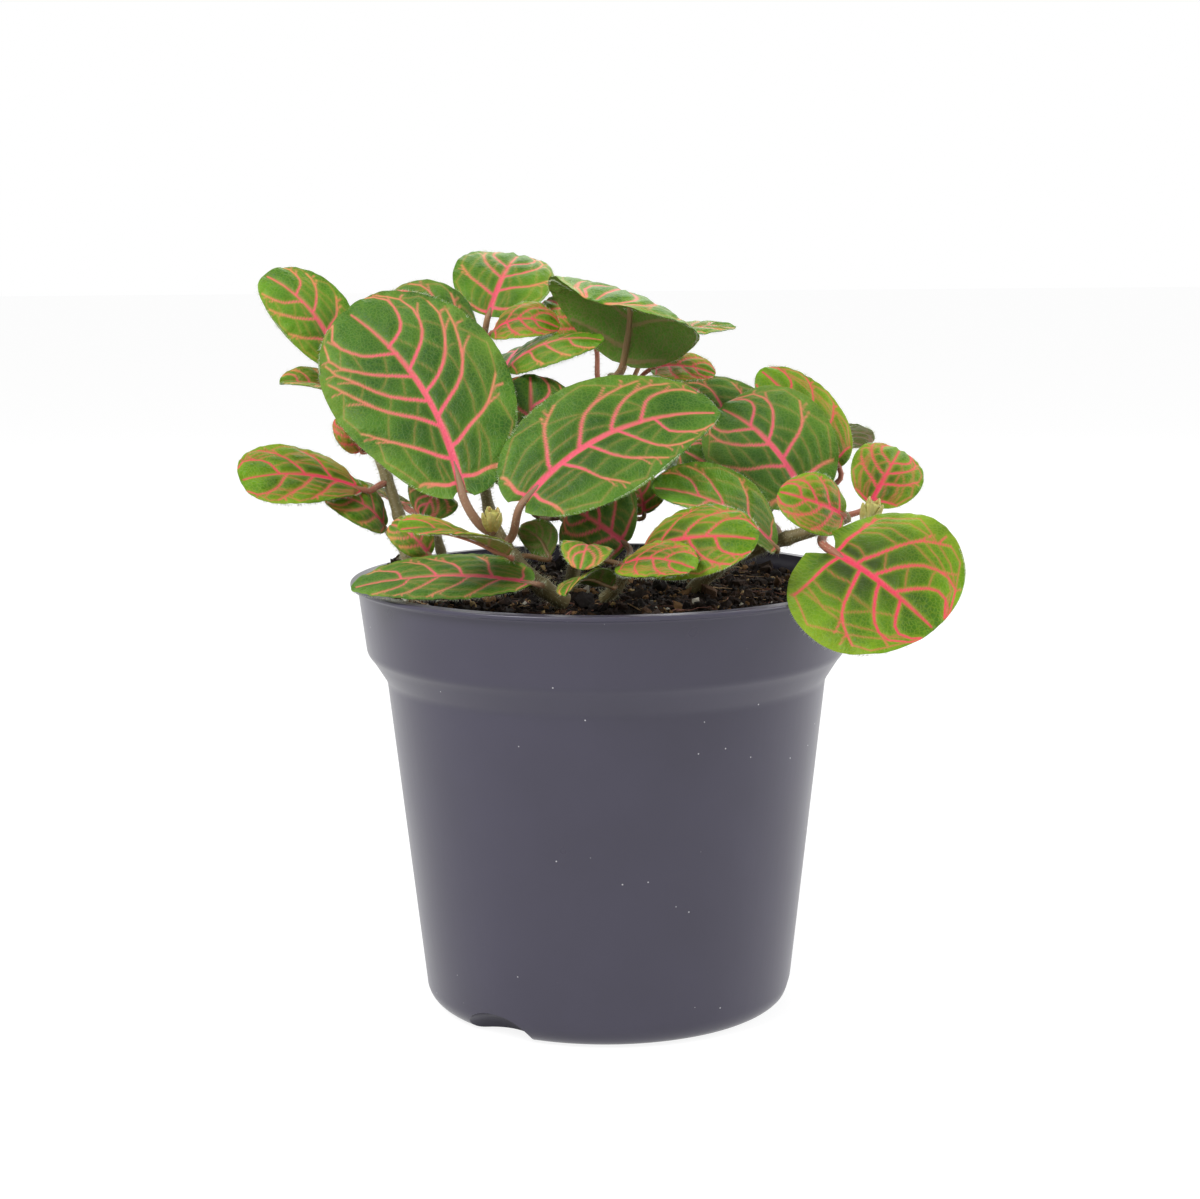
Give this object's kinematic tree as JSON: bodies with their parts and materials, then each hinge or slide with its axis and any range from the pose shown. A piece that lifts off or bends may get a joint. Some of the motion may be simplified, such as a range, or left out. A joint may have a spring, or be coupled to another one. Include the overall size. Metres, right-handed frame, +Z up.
{
  "type": "potted house plant",
  "caption": "Bushy young nerve plant with broad green leaves veined in pink and yellow-green, in a dark plastic nursery pot with soil.",
  "frame": {"origin": "centre of the pot's flat underside, on the surface it stands on", "axes": "+Z up along the pot's axis; -Y towards the plant's front, the side with the largest leaf; +X to the right seen from the front"},
  "size_m": [0.1426, 0.1073, 0.1552],
  "materials": {
    "pot_plastic": "dark grey-violet plastic with a soft sheen",
    "potting_soil": "damp peat mix, near black",
    "leaf_dark": "deep green leaf with salmon pink veins",
    "leaf_green": "mid green leaf with pink veins",
    "leaf_bright": "bright yellow-green leaf with dense pink-red veins",
    "stem_brown": "hairy brown-green stem",
    "bud_green": "pale yellow-green bud"
  },
  "bodies": {
    "root": {"bud_front": "bud_green", "bud_right": "bud_green", "leaf_back_a": "leaf_green", "leaf_back_b": "leaf_dark", "leaf_back_c": "leaf_dark", "leaf_back_d": "leaf_green", "leaf_back_dark_top": "leaf_dark", "leaf_back_e": "leaf_dark", "leaf_back_f": "leaf_bright", "leaf_back_g": "leaf_bright", "leaf_back_h": "leaf_green", "leaf_back_right_bright": "leaf_bright", "leaf_back_right_dark": "leaf_dark", "leaf_behind_crest": "leaf_bright", "leaf_centre_curl": "leaf_green", "leaf_centre_front": "leaf_bright", "leaf_centre_pale": "leaf_bright", "leaf_centre_under": "leaf_green", "leaf_crest": "leaf_green", "leaf_dark_between": "leaf_dark", "leaf_dark_hood": "leaf_dark", "leaf_dark_right_mid": "leaf_dark", "leaf_dark_small_left": "leaf_dark", "leaf_front_big": "leaf_dark", "leaf_front_bright": "leaf_bright", "leaf_hidden_red": "leaf_green", "leaf_left_grey": "leaf_green", "leaf_left_low": "leaf_bright", "leaf_left_pink": "leaf_green", "leaf_left_small": "leaf_green", "leaf_left_young": "leaf_bright", "leaf_mid_top_small": "leaf_bright", "leaf_olive": "leaf_green", "leaf_pale_right": "leaf_bright", "leaf_pale_under": "leaf_bright", "leaf_right_big": "leaf_dark", "leaf_right_edge_on": "leaf_green", "leaf_right_hanging": "leaf_bright", "leaf_right_round": "leaf_dark", "leaf_right_tip_lower": "leaf_bright", "leaf_right_tip_upper": "leaf_bright", "leaf_small_mid": "leaf_green", "leaf_soil_left": "leaf_dark", "leaf_tiny_folded": "leaf_green", "leaf_top_left": "leaf_green", "leaf_top_mid": "leaf_green", "leaf_young_folded": "leaf_green", "pot": "pot_plastic", "soil": "potting_soil", "stem_back_left": "stem_brown", "stem_back_right": "stem_brown", "stem_centre": "stem_brown", "stem_front": "stem_brown", "stem_left": "stem_brown", "stem_left_back": "stem_brown", "stem_left_low": "stem_brown", "stem_low_centre": "stem_brown", "stem_right": "stem_brown"}
  },
  "joints": []
}
